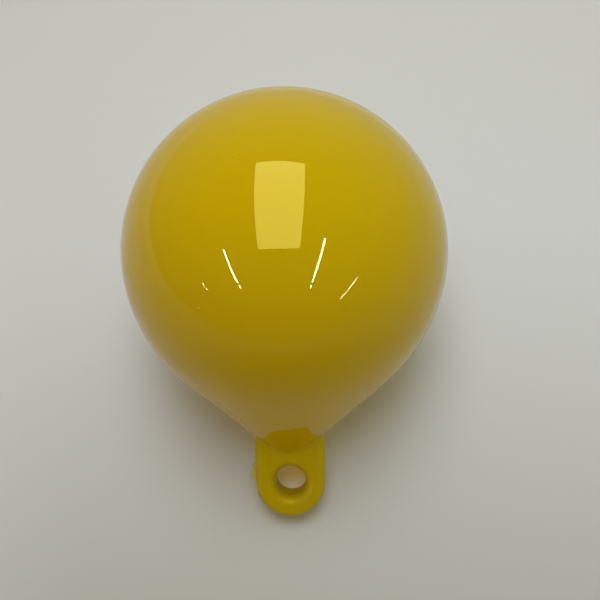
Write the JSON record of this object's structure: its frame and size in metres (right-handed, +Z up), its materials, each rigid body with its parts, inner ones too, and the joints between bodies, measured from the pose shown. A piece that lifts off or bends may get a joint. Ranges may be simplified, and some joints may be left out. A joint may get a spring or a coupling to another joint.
{
  "type": "anchor marker buoy",
  "caption": "Teardrop marker float with a ball body drawn into a cone, a thick mooring eye with a rounded rope hole in its nose and a sealing plug.",
  "frame": {"origin": "on the ground, below the centre of the box round the buoy as it lies at rest", "axes": "+Z up; the eye points along -Y and down to the ground; X is level, along the width of the eye"},
  "size_m": [0.15, 0.1825, 0.1499],
  "materials": {
    "float_skin": "glossy moulded yellow, faint handling scratches",
    "eye_plastic": "semi-gloss moulded yellow, solid section",
    "plug_plastic": "satin yellow"
  },
  "bodies": {
    "root": {"float_shell": "float_skin", "mooring_eye": "eye_plastic", "sealing_plug": "plug_plastic"}
  },
  "joints": []
}
